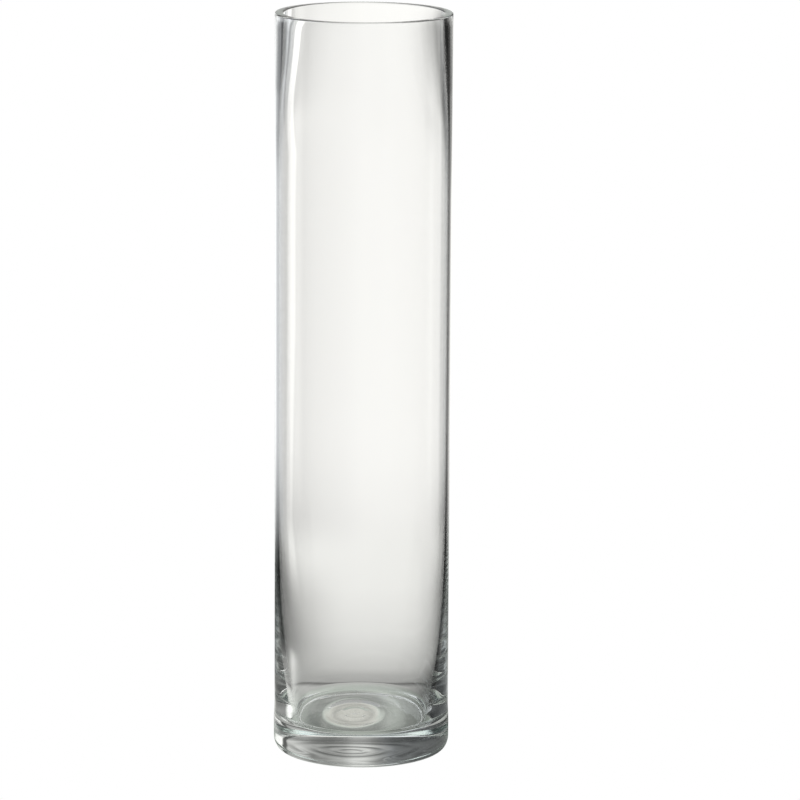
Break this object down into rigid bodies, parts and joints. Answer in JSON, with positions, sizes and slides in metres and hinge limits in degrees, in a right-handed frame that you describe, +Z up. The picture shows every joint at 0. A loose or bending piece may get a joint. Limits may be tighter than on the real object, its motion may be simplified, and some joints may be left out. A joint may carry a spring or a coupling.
{
  "type": "cylinder vase",
  "caption": "Tall straight-sided clear glass cylinder vase with a heavy rounded base, a rippled floor and a fire-polished rim.",
  "frame": {"origin": "centre of the foot, on the table top the vase stands on", "axes": "+Z up along the vase's axis, from the foot to the mouth; +X and +Y are level"},
  "size_m": [0.0957, 0.0956, 0.404],
  "materials": {
    "clear_glass": "clear blown soda-lime glass, fire-polished, finely ground where it stands"
  },
  "bodies": {
    "root": {"glass_vase": "clear_glass"}
  },
  "joints": []
}
